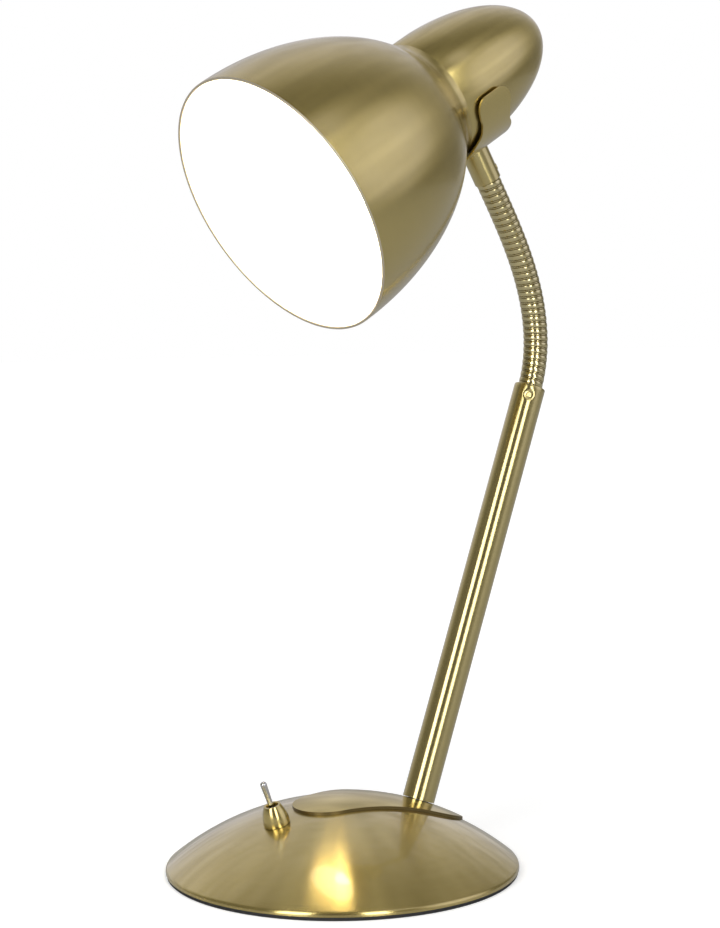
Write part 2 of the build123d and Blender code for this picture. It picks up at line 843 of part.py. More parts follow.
# Bulb: a round glass on a screw cap
cap_tip = holder_floor - contact_height - seat_gap
cap_mouth = holder_mouth - cap_lip
with BuildPart() as bulb_cap:
    with BuildSketch(head_section):
        with BuildLine():
            Polyline(
                (0, cap_tip),
                (contact_radius, cap_tip),
                (cap_radius, cap_tip - cap_taper),
                (cap_radius, cap_mouth),
                (bulb_neck_radius + seat_gap, cap_mouth),
                (bulb_neck_radius + seat_gap, cap_mouth + cap_grip),
                (0, cap_mouth + cap_grip),
                close=True,
            )
        make_face()
    revolve(axis=axis_of(head_plane))
save("bulb_cap", bulb_cap)

neck_turn_out = degrees(acos(bulb_neck_radius / bulb_radius))
neck_turn_in = degrees(acos((bulb_neck_radius - glass_wall) / (bulb_radius - glass_wall)))
with BuildPart() as bulb_glass:
    with BuildSketch(head_section):
        with BuildLine():
            globe = CenterArc((0, bulb_station), bulb_radius, -90, 90 + neck_turn_out)
            hollow = CenterArc((0, bulb_station), bulb_radius - glass_wall, -90, 90 + neck_turn_in)
            Line(globe @ 0, hollow @ 0)
            Polyline(
                globe @ 1,
                (bulb_neck_radius, cap_mouth + cap_grip),
                (bulb_neck_radius - glass_wall, cap_mouth + cap_grip),
                hollow @ 1,
            )
        make_face()
    revolve(axis=axis_of(head_plane))
    fillet(head_circle(bulb_glass, bulb_neck_radius, (globe @ 1).Y), bulb_neck_rounding)
save("bulb_glass", bulb_glass)

# Switch: a barrel collar on the dome over a toggle switch that hangs inside
with BuildPart() as switch_collar:
    with BuildSketch(section_plane(switch_plane)):
        with BuildLine():
            ThreePointArc(
                (collar_base, seat_gap), (collar_belly, collar_belly_height), (collar_mouth, collar_height)
            )
            Polyline(
                (collar_mouth, collar_height),
                (mouth_radius, collar_height),
                (mouth_radius, bushing_height),
                (bushing_radius + slip_fit, bushing_height),
                (bushing_radius + slip_fit, seat_gap),
                (collar_base, seat_gap),
            )
        make_face()
    revolve(axis=axis_of(switch_plane))
    fillet(switch_collar.edges().sort_by(switch_axis)[-1], mouth_rounding)
save("switch_collar", switch_collar)

switch_nut_seat = dome_wall + sag(inner_dome, switch_nut_width / sqrt(3)) + seat_gap
switch_top = switch_nut_seat + switch_nut_height
with BuildPart() as switch_nut:
    with BuildSketch(switch_plane.offset(-switch_nut_seat)):
        RegularPolygon(switch_nut_width / 2, 6, major_radius=False)
        Circle(bushing_radius + slip_fit, mode=Mode.SUBTRACT)
    extrude(amount=-switch_nut_height)
save("switch_nut", switch_nut)

with BuildPart() as switch_bushing:
    with BuildSketch(switch_plane.offset(-bushing_tail)):
        Circle(bushing_radius)
        Circle(bushing_bore, mode=Mode.SUBTRACT)
    extrude(amount=bushing_tail + bushing_height)
save("switch_bushing", switch_bushing)

with BuildPart() as switch_body:
    with BuildSketch(switch_plane.offset(-switch_top)):
        Rectangle(switch_body_width, switch_body_length)
    extrude(amount=-switch_body_depth)
    fillet(switch_body.edges().filter_by(switch_axis), body_rounding)
    with BuildSketch(switch_plane.offset(-switch_top)):
        Circle(bushing_radius + slip_fit)
    extrude(amount=-(bushing_tail - switch_top), mode=Mode.SUBTRACT)
save("switch_body", switch_body)

with BuildPart() as switch_terminals:
    with BuildSketch(switch_plane.offset(-switch_top - switch_body_depth)):
        with GridLocations(0, terminal_pitch, 1, terminal_count):
            Rectangle(terminal_width, terminal_thickness)
    extrude(amount=-terminal_length)
save("switch_terminals", switch_terminals)

# Bat lever, resting towards the front
with BuildPart() as switch_lever:
    with BuildSketch(section_plane(lever_plane)):
        with BuildLine():
            ball_low = sqrt(lever_ball_radius**2 - lever_neck_radius**2)
            tip_centre = lever_reach - lever_tip_radius
            Line((0, -lever_tail), (lever_neck_radius, -lever_tail))
            Line((lever_neck_radius, -lever_tail), (lever_neck_radius, -ball_low))
            ThreePointArc(
                (lever_neck_radius, -ball_low), (lever_ball_radius, 0), (lever_neck_radius, ball_low)
            )
            Line((lever_neck_radius, ball_low), (lever_tip_radius, tip_centre))
            CenterArc((0, tip_centre), lever_tip_radius, 0, 90)
            Line((0, lever_reach), (0, -lever_tail))
        make_face()
    revolve(axis=axis_of(lever_plane))
save("switch_lever", switch_lever)

# Bush for the supply cord at the back of the base
with BuildPart() as cord_bush:
    with BuildSketch(Plane.XZ.offset(-cord_bush_root)):
        with Locations((0, cord_bush_height)):
            Circle(cord_bush_radius)
    extrude(amount=cord_bush_root - base_radius)
    with BuildSketch(Plane.XZ.offset(-cord_bush_root)):
        with Locations((0, cord_bush_height)):
            Circle(cord_bush_flange)
    extrude(amount=-cord_bush_flange_thickness)
    with BuildSketch(Plane.XZ.offset(-cord_bush_root)):
        with Locations((0, cord_bush_height)):
            Circle(cord_bush_bore)
    extrude(amount=cord_bush_root - base_radius, mode=Mode.SUBTRACT)
    with Locations((0, 0, dome_centre)):
        Sphere(dome_radius + cord_bush_lip, mode=Mode.INTERSECT)
save("cord_bush", cord_bush)

# Terminal block on the weight
with BuildPart() as terminal_block:
    with BuildSketch(Plane.XY.offset(weight_top)):
        with Locations((block_offset, 0)):
            Rectangle(block_width, block_length)
    extrude(amount=block_height)
    fillet(terminal_block.edges().filter_by(Axis.Z), body_rounding)
    with BuildSketch(Plane.XY.offset(weight_top + block_height)):
        with Locations((block_offset, 0)):
            with GridLocations(0, block_length / block_ways, 1, block_ways):
                Circle(block_hole_radius)
    extrude(amount=-block_hole_depth, mode=Mode.SUBTRACT)
save("terminal_block", terminal_block)
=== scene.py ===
"""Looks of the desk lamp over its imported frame. Sizes are millimetres, the scene is in metres."""

import json
import math

import bpy
from mathutils import Matrix, Vector


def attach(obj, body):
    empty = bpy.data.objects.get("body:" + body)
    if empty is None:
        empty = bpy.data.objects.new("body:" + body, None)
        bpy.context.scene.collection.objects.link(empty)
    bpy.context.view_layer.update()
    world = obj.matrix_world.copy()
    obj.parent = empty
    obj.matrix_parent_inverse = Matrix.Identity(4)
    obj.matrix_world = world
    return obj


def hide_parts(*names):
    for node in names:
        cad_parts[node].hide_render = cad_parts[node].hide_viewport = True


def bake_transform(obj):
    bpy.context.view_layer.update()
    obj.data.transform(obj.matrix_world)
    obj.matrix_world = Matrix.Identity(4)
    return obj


MM = 0.001
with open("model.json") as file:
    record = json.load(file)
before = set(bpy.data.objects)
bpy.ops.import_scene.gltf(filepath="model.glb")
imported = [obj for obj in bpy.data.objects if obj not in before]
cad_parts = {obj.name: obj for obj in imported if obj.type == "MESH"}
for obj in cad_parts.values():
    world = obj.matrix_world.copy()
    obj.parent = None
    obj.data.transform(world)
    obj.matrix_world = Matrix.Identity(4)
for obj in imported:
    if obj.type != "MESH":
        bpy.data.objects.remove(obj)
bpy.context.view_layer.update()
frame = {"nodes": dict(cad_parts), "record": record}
nodes = frame["nodes"]

# Sizes shared with the solids
BASE_RADIUS, DOME_HEIGHT, RIM_HEIGHT, RIM_ROUND = 85.0, 34.0, 3.6, 2.4
CROWN_RISE = DOME_HEIGHT - RIM_HEIGHT
DOME_RADIUS = (BASE_RADIUS**2 + CROWN_RISE**2) / (2 * CROWN_RISE)
DOME_WALL = 1.0
PLATE = 1.4
SEAT = 0.05
PAD_INSET, PAD_THICKNESS = 0.5, 1.8
DOME_LIFT = PAD_THICKNESS + SEAT
FOOT_OFFSET, COLUMN_LENGTH, COLUMN_RADIUS, COLUMN_WALL = 46.5, 215.7, 8.0, 1.0
SCREW_DROP, SCREW_ANGLE = 5.5, -36.0
RIB_PITCH, RIBS_PER_LINK, JOINTS = 3.37, 3, 11
LINK = RIB_PITCH * RIBS_PER_LINK
HEAD_TILT = 31.03
STEM_RADIUS, STEM_BORE, STEM_LENGTH = 6.8, 5.6, 17.0
BRACKET_RADIUS, BRACKET_WALL = 33.6, 1.0
STEM_STATION = 117.6
BELL_RADIUS, BELL_LENGTH, BELL_STATION, RIM_BEAD = 66.3, 104.0, 4.0, 0.7
COLLAR_RADIUS, SEAM_STATION = 31.8, 100.0
HOUSING_RADIUS, HOUSING_LENGTH, HOUSING_STATION = 32.0, 70.0, 112.0
WALL = 0.8
SWITCH_OFFSET = 38.0
SWITCH_COLLAR = ((6.4, 0.05), (6.1, 3.8), (4.0, 9.6))
MOUTH_RADIUS, BUSHING_HEIGHT = 2.9, 6.6

# Finer sizes that only the pictures show
DOME_LIP, PAD_EDGE = 1.5, 0.3
PLATE_EDGE_FACING = 0.5
TUBE_MOUTH, TUBE_EDGE_WIDTH, TUBE_EDGE_HEIGHT = 1.4, 0.25, 0.3
DIMPLE_RADIUS, DIMPLE_DEPTH, DIMPLE_RINGS = 3.6, 0.8, 36
COLLAR_LIP, MOUTH_EASE, MOUTH_SINK = 0.35, 0.1, 0.05
STEM_EDGE, STEM_OVERLAP = 0.3, 1.0
BELL_FIRST, BELL_LAST, BELL_STEPS, WAIST_STEPS = -2.2, 58.0, 70, 12
LINING_GAP = 0.1
HOUSING_FIRST, HOUSING_STEPS, HOUSING_SKIP = -8, 70, 8
HOUSING_EASE, HOUSING_SWELL, HOUSING_EDGE = 0.1, 0.02, 0.35
RIB_RADIUS, RIB_HALF_WIDTH, VALLEY = 6.25, 1.15, 5.75
FILLER_RADIUS, FILLER_HALF_WIDTH = 6.1, 0.3
# The groove power shapes the painted shade in the grooves of the hose.
TURN_SLOPE, GROOVE_SHADE_POWER = 12.0, 3
ON_AXIS = 1e-6


def lean(degrees):
    return Vector((0, math.sin(math.radians(degrees)), math.cos(math.radians(degrees))))


def place(origin, axis):
    """Matrix that puts a turned piece's local Z on an axis; the origin is in millimetres."""
    z = Vector(axis).normalized()
    x = Vector((1, 0, 0))
    y = z.cross(x)
    rotation = Matrix((x, y, z)).transposed().to_4x4()
    return Matrix.Translation(Vector(origin) * MM) @ rotation


DOME_CENTRE = Vector((0, 0, DOME_HEIGHT - DOME_RADIUS))
COLUMN_LEAN = math.degrees(math.asin(FOOT_OFFSET / DOME_RADIUS))
column_axis = lean(COLUMN_LEAN)
column_foot = DOME_CENTRE + column_axis * (DOME_RADIUS + PLATE + 2 * SEAT)
column_top = column_foot + column_axis * COLUMN_LENGTH

# Neck: joint centres and the directions below and above each joint
turn_step = 2 * (COLUMN_LEAN + HEAD_TILT) / (JOINTS * (JOINTS - 1))
joint_places, joint_below, joint_above = [], [], []
angle, point = COLUMN_LEAN, column_top + column_axis * (LINK / 2)
for i in range(JOINTS):
    joint_places.append(point.copy())
    joint_below.append(lean(angle))
    angle -= turn_step * (JOINTS - 1 - i)
    joint_above.append(lean(angle))
    point = point + joint_above[-1] * LINK
stem_foot = joint_places[-1] + joint_above[-1] * (LINK / 2)
head_up = joint_above[-1]
bracket_point = stem_foot + head_up * STEM_LENGTH
head_axis = Vector((0, math.cos(math.radians(HEAD_TILT)), math.sin(math.radians(HEAD_TILT))))
head_centre = bracket_point + head_up * (BRACKET_RADIUS + BRACKET_WALL)
rim_centre = head_centre - head_axis * STEM_STATION
switch_axis = lean(-math.degrees(math.asin(SWITCH_OFFSET / DOME_RADIUS)))
switch_point = DOME_CENTRE + switch_axis * DOME_RADIUS


def arc(centre, radius, first, last, steps):
    """Points of an arc in (radius, height), angles in degrees from the radius direction."""
    turns = [math.radians(first + (last - first) * i / steps) for i in range(steps + 1)]
    return [(centre[0] + radius * math.cos(t), centre[1] + radius * math.sin(t)) for t in turns]


def ellipse(station, radius, length, first, last, steps):
    turns = [math.radians(first + (last - first) * i / steps) for i in range(steps + 1)]
    return [(radius * math.cos(t), station + length * math.sin(t)) for t in turns]


def finish_mesh(mesh, sharp=40):
    mesh.validate()
    mesh.shade_smooth()
    mesh.set_sharp_from_angle(angle=math.radians(sharp))
    mesh.update()


def lathe(name, profile, matrix, material, segments=160):
    """Turned piece from (radius, height) points in millimetres."""
    verts, rings, faces = [], [], []
    for radius, height in profile:
        if abs(radius) < ON_AXIS:
            rings.append([len(verts)])
            verts.append((0, 0, height * MM))
            continue
        first = len(verts)
        rings.append(list(range(first, first + segments)))
        for k in range(segments):
            t = 2 * math.pi * k / segments
            verts.append((radius * math.cos(t) * MM, radius * math.sin(t) * MM, height * MM))
    for low, high in zip(rings, rings[1:]):
        for k in range(segments):
            m = (k + 1) % segments
            if len(low) == 1 and len(high) == 1:
                continue
            if len(low) == 1:
                faces.append((low[0], high[m], high[k]))
            elif len(high) == 1:
                faces.append((low[k], low[m], high[0]))
            else:
                faces.append((low[k], low[m], high[m], high[k]))
    mesh = bpy.data.meshes.new(name)
    mesh.from_pydata(verts, [], faces)
    finish_mesh(mesh)
    obj = bpy.data.objects.new(name, mesh)
    obj.matrix_world = matrix
    mesh.materials.append(material)
    bpy.context.scene.collection.objects.link(obj)
    return obj


# Materials
def new_material(name):
    material = bpy.data.materials.new(name)
    material.use_nodes = True
    tree = material.node_tree
    shader = tree.nodes["Principled BSDF"]
    return material, tree, shader


def add(tree, kind, **values):
    node = tree.nodes.new(kind)
    for key, value in values.items():
        setattr(node, key, value)
    return node


def maths(tree, operation, first, second=None):
    node = add(tree, "ShaderNodeMath", operation=operation)
    for socket, value in zip(node.inputs, (first, second)):
        if value is None:
            continue
        if isinstance(value, (int, float)):
            socket.default_value = value
        else:
            tree.links.new(value, socket)
    return node.outputs[0]


def ramp(tree, value, low, high):
    """Maps a 0 to 1 value to a range."""
    node = add(tree, "ShaderNodeMapRange")
    tree.links.new(value, node.inputs["Value"])
    node.inputs["To Min"].default_value = low
    node.inputs["To Max"].default_value = high
    return node.outputs["Result"]


def noise(tree, vector, scale, detail=2.0):
    node = add(tree, "ShaderNodeTexNoise")
    tree.links.new(vector, node.inputs["Vector"])
    node.inputs["Scale"].default_value = scale
    node.inputs["Detail"].default_value = detail
    return node.outputs["Fac"]


def turned_coordinates(tree, lines, sweep):
    """Coordinates that run fast along a turned piece's outline and slowly round it."""
    coordinates = add(tree, "ShaderNodeTexCoord").outputs["Object"]
    split = add(tree, "ShaderNodeSeparateXYZ")
    tree.links.new(coordinates, split.inputs[0])
    x, y, z = split.outputs
    square = maths(tree, "ADD", maths(tree, "MULTIPLY", x, x), maths(tree, "MULTIPLY", y, y))
    radius = maths(tree, "MAXIMUM", maths(tree, "SQRT", square), 1e-5)
    join = add(tree, "ShaderNodeCombineXYZ")
    tree.links.new(maths(tree, "MULTIPLY", maths(tree, "DIVIDE", x, radius), sweep), join.inputs[0])
    tree.links.new(maths(tree, "MULTIPLY", maths(tree, "DIVIDE", y, radius), sweep), join.inputs[1])
    outline = maths(tree, "SUBTRACT", z, radius)
    tree.links.new(maths(tree, "MULTIPLY", outline, lines), join.inputs[2])
    return join.outputs[0]


def two_tones(tree, factor, dark, pale):
    """Colour that a 0 to 1 value takes from a dark tone to a pale one."""
    mix = add(tree, "ShaderNodeMix", data_type="RGBA")
    tree.links.new(factor, mix.inputs["Factor"])
    mix.inputs["A"].default_value = tuple(dark) + (1,)
    mix.inputs["B"].default_value = tuple(pale) + (1,)
    return mix.outputs["Result"]


BRASS = (0.64, 0.515, 0.19)
TUBE_BRASS = (0.615, 0.512, 0.215)
NECK_BRASS = (0.66, 0.575, 0.3)
# The groove tone below is painted shade in the grooves of the hose.
GROOVE_SHADE_BRASS = (0.3, 0.23, 0.09)
FINE_LINES, FINE_SWEEP, FINE_SHARE = 3200, 2.5, 0.65
BROAD_LINES, BROAD_SWEEP = 260, 1.2
STREAK_SPREAD, DARK_STREAK, PALE_STREAK = 0.05, 0.9, 1.08
LACQUER_WEIGHT, PLAIN_LACQUER = 0.9, 0.12
BRUSH_TURN, BRUSH_BUMP, BRUSH_DEPTH = 0.25, 0.08, 0.0002


def brushed_brass(name, roughness, anisotropy, colour=BRASS, lacquer=0.16):
    """Lacquered brass brushed round its axis, so that highlights stretch along the outline."""
    material, tree, shader = new_material(name)
    fine = noise(tree, turned_coordinates(tree, FINE_LINES, FINE_SWEEP), scale=1.0, detail=3.0)
    broad = noise(tree, turned_coordinates(tree, BROAD_LINES, BROAD_SWEEP), scale=1.0, detail=2.0)
    fine_part = maths(tree, "MULTIPLY", fine, FINE_SHARE)
    streaks = maths(tree, "ADD", fine_part, maths(tree, "MULTIPLY", broad, 1 - FINE_SHARE))
    sheen = ramp(tree, streaks, roughness - STREAK_SPREAD, roughness + STREAK_SPREAD)
    tree.links.new(sheen, shader.inputs["Roughness"])
    dark, pale = ([min(1, c * share) for c in colour] for share in (DARK_STREAK, PALE_STREAK))
    tree.links.new(two_tones(tree, streaks, dark, pale), shader.inputs["Base Color"])
    shader.inputs["Metallic"].default_value = 1
    shader.inputs["Coat Weight"].default_value = LACQUER_WEIGHT
    shader.inputs["Coat Roughness"].default_value = lacquer
    shader.inputs["Anisotropic"].default_value = anisotropy
    shader.inputs["Anisotropic Rotation"].default_value = BRUSH_TURN
    tangent = add(tree, "ShaderNodeTangent", direction_type="RADIAL", axis="Z")
    tree.links.new(tangent.outputs[0], shader.inputs["Tangent"])
    bump = add(tree, "ShaderNodeBump")
    bump.inputs["Strength"].default_value = BRUSH_BUMP
    bump.inputs["Distance"].default_value = BRUSH_DEPTH
    tree.links.new(fine, bump.inputs["Height"])
    tree.links.new(bump.outputs[0], shader.inputs["Normal"])
    return material


def plain(name, colour, roughness, metallic=0.0, grain=400.0, spread=0.04, tone=0.06, coat=0.0):
    """Plain finish with a fine grain in its roughness and tone."""
    material, tree, shader = new_material(name)
    coordinates = add(tree, "ShaderNodeTexCoord").outputs["Object"]
    value = noise(tree, coordinates, grain, detail=3.0)
    tree.links.new(ramp(tree, value, roughness - spread, roughness + spread), shader.inputs["Roughness"])
    dark, pale = ([min(1, c * share) for c in colour] for share in (1 - tone, 1 + tone))
    tree.links.new(two_tones(tree, value, dark, pale), shader.inputs["Base Color"])
    shader.inputs["Metallic"].default_value = metallic
    shader.inputs["Coat Weight"].default_value = coat
    shader.inputs["Coat Roughness"].default_value = PLAIN_LACQUER
    return material


def polished(name, colour, roughness, coat=0.0):
    """Bare or lacquered metal with hardly any grain."""
    return plain(name, colour, roughness, metallic=1.0, grain=2500, spread=0.02, tone=0.02, coat=coat)


def wound_brass(name):
    """Brass of the hose, with painted shade that darkens its grooves from the tone of its turns."""
    material = polished(name, NECK_BRASS, 0.18, coat=LACQUER_WEIGHT)
    tree = material.node_tree
    base = tree.nodes["Principled BSDF"].inputs["Base Color"]
    turn_tone = base.links[0].from_socket
    depth = add(tree, "ShaderNodeAttribute", attribute_name="groove").outputs["Fac"]
    mix = add(tree, "ShaderNodeMix", data_type="RGBA")
    tree.links.new(depth, mix.inputs["Factor"])
    tree.links.new(turn_tone, mix.inputs["A"])
    mix.inputs["B"].default_value = GROOVE_SHADE_BRASS + (1,)
    tree.links.new(mix.outputs["Result"], base)
    return material


def glow(material, colour, strength):
    """Makes a finish glow with the warm light of the lit bulb; on the lining this glow is painted light.
    """
    shader = material.node_tree.nodes["Principled BSDF"]
    shader.inputs["Emission Color"].default_value = colour + (1,)
    shader.inputs["Emission Strength"].default_value = strength
    return material


WARM = (1.0, 0.84, 0.58)
brass = brushed_brass("brass_turned", roughness=0.24, anisotropy=0.94)
brass_dome = brushed_brass("brass_dome", roughness=0.24, anisotropy=0.94, lacquer=0.05)
brass_tube = brushed_brass("brass_tube", roughness=0.22, anisotropy=0.95, colour=TUBE_BRASS)
brass_fine = brushed_brass("brass_fine", roughness=0.2, anisotropy=0.8)
brass_small = polished("brass_small", BRASS, 0.28, coat=LACQUER_WEIGHT)
brass_plate = polished("brass_plate", BRASS, 0.15)
# A paler, less metallic brass for the rim bead: a painted sheen on the shade's edge.
brass_rim_painted_sheen = plain("brass_rim_painted_sheen", (0.42, 0.37, 0.28), 0.35, metallic=0.6, grain=900)
# A darker brass for the plate's side faces: a painted dark reflection.
brass_edge_painted_dark = plain("brass_edge_painted_dark", (0.2, 0.15, 0.06), 0.4, metallic=1.0, grain=900)
brass_neck = wound_brass("brass_neck")
# The white lining is given a glow of its own: painted light of the bulb on the inside of the shade.
enamel = glow(plain("white_enamel", (0.86, 0.85, 0.82), 0.35, grain=300), WARM, strength=0.9)
opal = glow(plain("opal_glass", (0.9, 0.88, 0.84), 0.2, grain=300), WARM, strength=13.0)
chrome = polished("lever_steel", (0.74, 0.74, 0.74), 0.12)
steel = plain("plated_steel", (0.55, 0.55, 0.55), 0.35, metallic=1.0)
iron = plain("cast_iron", (0.12, 0.12, 0.12), 0.6, metallic=0.6)
rubber = plain("black_rubber", (0.012, 0.012, 0.012), 0.6)
bakelite = plain("black_plastic", (0.02, 0.02, 0.02), 0.4)


def piece(obj, body, slot, *replaced):
    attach(obj, body)
    if replaced:
        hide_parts(*replaced)


# Nodes shown as they are take their finish from their slot
SLOT_FINISH = {
    "brass": brass_small,
    "steel": steel,
    "lever_chrome": chrome,
    "cast_iron": iron,
    "black_rubber": rubber,
    "black_plastic": bakelite,
    "contact_brass": brass_small,
    "bulb_cap_metal": steel,
    "opal_glass": opal,
}
for row in frame["record"]["subparts"]:
    node = nodes[row["node"]]
    node.data.materials.clear()
    finish = brass_plate if row["node"] == "leaf_plate" else SLOT_FINISH[row["material_slot"]]
    node.data.materials.append(finish)
    finish_mesh(node.data, sharp=25)

# The side faces of the plate take a darker brass than its polished face: a painted dark reflection on the
# edge
plate_node = nodes["leaf_plate"]
plate_node.data.materials.append(brass_edge_painted_dark)
for polygon in plate_node.data.polygons:
    outward = (plate_node.matrix_world @ polygon.center - DOME_CENTRE * MM).normalized()
    facing = (plate_node.matrix_world.to_3x3() @ polygon.normal).normalized().dot(outward)
    polygon.material_index = 1 if abs(facing) < PLATE_EDGE_FACING else 0

# Base
round_centre = BASE_RADIUS - RIM_ROUND
round_rise = math.sqrt((DOME_RADIUS - RIM_ROUND) ** 2 - round_centre**2)
rim_angle = math.degrees(math.atan2(round_rise, round_centre))
dome_top = arc((0, DOME_CENTRE.z), DOME_RADIUS, 90, rim_angle, steps=60)
dome_rim = arc((round_centre, DOME_CENTRE.z + round_rise), RIM_ROUND, rim_angle, 0, steps=10)[1:]
dome_rim += [
    (BASE_RADIUS, DOME_LIFT),
    (BASE_RADIUS - DOME_WALL, DOME_LIFT),
    (BASE_RADIUS - DOME_WALL, DOME_LIFT + DOME_LIP),
]
upright = place((0, 0, 0), (0, 0, 1))
dome = lathe("dome_spun", dome_top + dome_rim, upright, brass_dome, segments=224)
piece(dome, "base", "brass", "base_dome")
pad_radius = BASE_RADIUS - PAD_INSET
pad_profile = [
    (0, 0),
    (pad_radius - PAD_EDGE, 0),
    (pad_radius, PAD_EDGE),
    (pad_radius, PAD_THICKNESS),
    (0, PAD_THICKNESS),
]
pad = lathe("pad_round", pad_profile, upright, rubber)
piece(pad, "base", "black_rubber", "foot_pad")


# Switch
def arc_through(first, middle, last, steps):
    """Points of the arc through three (radius, height) points."""
    (ax, ay), (bx, by), (cx, cy) = first, middle, last
    size = 2 * (ax * (by - cy) + bx * (cy - ay) + cx * (ay - by))
    a2, b2, c2 = ax * ax + ay * ay, bx * bx + by * by, cx * cx + cy * cy
    x = (a2 * (by - cy) + b2 * (cy - ay) + c2 * (ay - by)) / size
    y = (a2 * (cx - bx) + b2 * (ax - cx) + c2 * (bx - ax)) / size
    start, end = (math.degrees(math.atan2(py - y, px - x)) for px, py in (first, last))
    return arc((x, y), math.hypot(ax - x, ay - y), start, end, steps)


collar_line = arc_through(*SWITCH_COLLAR, steps=24)
collar_top = collar_line[-1]
collar_line += [
    (collar_top[0] - COLLAR_LIP, collar_top[1]),
    (MOUTH_RADIUS + MOUTH_EASE, collar_top[1] - MOUTH_SINK),
    (MOUTH_RADIUS, collar_top[1] - COLLAR_LIP),
    (MOUTH_RADIUS, BUSHING_HEIGHT),
]
collar = lathe("collar_turned", collar_line, place(switch_point, switch_axis), brass_fine, segments=96)
piece(collar, "base", "brass", "switch_collar")

# Column
dimple_height = COLUMN_LENGTH - SCREW_DROP
dimple_first, dimple_last = dimple_height - DIMPLE_RADIUS, dimple_height + DIMPLE_RADIUS
tube_profile = [(COLUMN_RADIUS - COLUMN_WALL, 0.0), (COLUMN_RADIUS, 0.0)]
for ring in range(DIMPLE_RINGS + 1):
    height = dimple_first + (dimple_last - dimple_first) * ring / DIMPLE_RINGS
    tube_profile.append((COLUMN_RADIUS, height))
tube_profile += [
    (COLUMN_RADIUS, COLUMN_LENGTH - TUBE_EDGE_HEIGHT),
    (COLUMN_RADIUS - TUBE_EDGE_WIDTH, COLUMN_LENGTH),
    (COLUMN_RADIUS - TUBE_MOUTH, COLUMN_LENGTH),
]
tube = lathe("tube_drawn", tube_profile, place(column_foot, column_axis), brass_tube, segments=192)
# Hollow round the set screw, pressed into the outside of the tube
for vertex in tube.data.vertices:
    x, y, height = vertex.co / MM
    across = COLUMN_RADIUS * (math.atan2(y, x) - math.radians(SCREW_ANGLE))
    distance = math.hypot(across, height - dimple_height)
    if distance < DIMPLE_RADIUS:
        sink = DIMPLE_DEPTH * (1 + math.cos(math.pi * distance / DIMPLE_RADIUS)) / 2
        shrink = 1 - sink / COLUMN_RADIUS
        vertex.co.x *= shrink
        vertex.co.y *= shrink
finish_mesh(tube.data)
piece(tube, "base", "brass", "column_tube")


# Head
def bell_outline(offset):
    """Bell outline from the rim to the seam with a round waist, set in by an offset."""
    radius, length = BELL_RADIUS - offset, BELL_LENGTH - offset
    bell = ellipse(BELL_STATION, radius, length, BELL_FIRST, BELL_LAST, BELL_STEPS)
    before, end = bell[-2:]
    slope = math.atan2(end[1] - before[1], end[0] - before[0])
    collar = COLLAR_RADIUS - offset
    # The waist is an arc tangent to the bell and to the collar
    turn = slope - math.pi / 2
    waist = (end[0] - collar) / (1 - math.cos(turn))
    centre = (collar + waist, end[1] + waist * math.sin(turn))
    fill = []
    for i in range(1, WAIST_STEPS + 1):
        t = turn * (1 - i / WAIST_STEPS)
        fill.append((centre[0] - waist * math.cos(t), centre[1] - waist * math.sin(t)))
    return bell + fill + [(collar, SEAM_STATION)]


head_matrix = place(rim_centre, head_axis)
bell_line = bell_outline(0.0)
bead = arc((bell_line[0][0] - RIM_BEAD, RIM_BEAD / 2), RIM_BEAD, -180, 0, steps=12)
shell_line = bead + bell_line[1:] + [(COLLAR_RADIUS - WALL, SEAM_STATION)]
shell = lathe("shade_spun", shell_line, head_matrix, brass, segments=224)
# The rolled bead at the rim takes its own paler tone: a painted sheen along the edge.
shell.data.materials.append(brass_rim_painted_sheen)
for polygon in shell.data.polygons:
    polygon.material_index = 1 if polygon.center.z < RIM_BEAD * MM else 0
piece(shell, "head", "brass", "shade")
lining_line = bell_outline(WALL)
lining_start = (bell_line[0][0] - 2 * RIM_BEAD + LINING_GAP, RIM_BEAD / 2)
lining = lathe("shade_enamel", [lining_start] + lining_line[2:], head_matrix, enamel)
piece(lining, "head", "brass", "shade")
housing_line = [
    (COLLAR_RADIUS - WALL, SEAM_STATION + SEAT),
    (COLLAR_RADIUS - HOUSING_EASE, SEAM_STATION + HOUSING_EASE),
    (COLLAR_RADIUS + HOUSING_SWELL, SEAM_STATION + HOUSING_EDGE),
]
housing_curve = ellipse(HOUSING_STATION, HOUSING_RADIUS, HOUSING_LENGTH, HOUSING_FIRST, 90, HOUSING_STEPS)
housing_line += housing_curve[HOUSING_SKIP:]
housing_line[-1] = (0.0, housing_line[-1][1])
housing = lathe("housing_spun", housing_line, head_matrix, brass)
piece(housing, "head", "brass", "rear_housing")

# Stem
stem_top = STEM_LENGTH + STEM_OVERLAP
stem_profile = [
    (STEM_BORE, 0.0),
    (STEM_RADIUS - STEM_EDGE, 0.0),
    (STEM_RADIUS, STEM_EDGE),
    (STEM_RADIUS, stem_top),
    (STEM_BORE, stem_top),
]
stem = lathe("stem_sleeve", stem_profile, place(stem_foot, head_up), brass_tube, segments=64)
piece(stem, "bracket", "brass", "upper_stem")


# Neck: one wound hose in lengths that bend across each joint
def wire_radius(along, around):
    """Outside of the wound hose: a crowned turn with a narrow filler wire beside it."""
    phase = ((along / RIB_PITCH + around / (2 * math.pi)) % 1.0) * RIB_PITCH
    crown = math.tan(math.radians(TURN_SLOPE)) / 2
    from_wire = abs(phase - RIB_PITCH / 2) / RIB_HALF_WIDTH
    from_filler = min(phase, RIB_PITCH - phase) / FILLER_HALF_WIDTH
    if from_wire < 1:
        return RIB_RADIUS - crown * RIB_HALF_WIDTH * from_wire**2
    if from_filler < 1:
        return FILLER_RADIUS - crown * FILLER_HALF_WIDTH * from_filler**2
    return VALLEY


ROUND_STEPS, LENGTH_STEPS = 56, 72
STRAIGHT = 1e-4


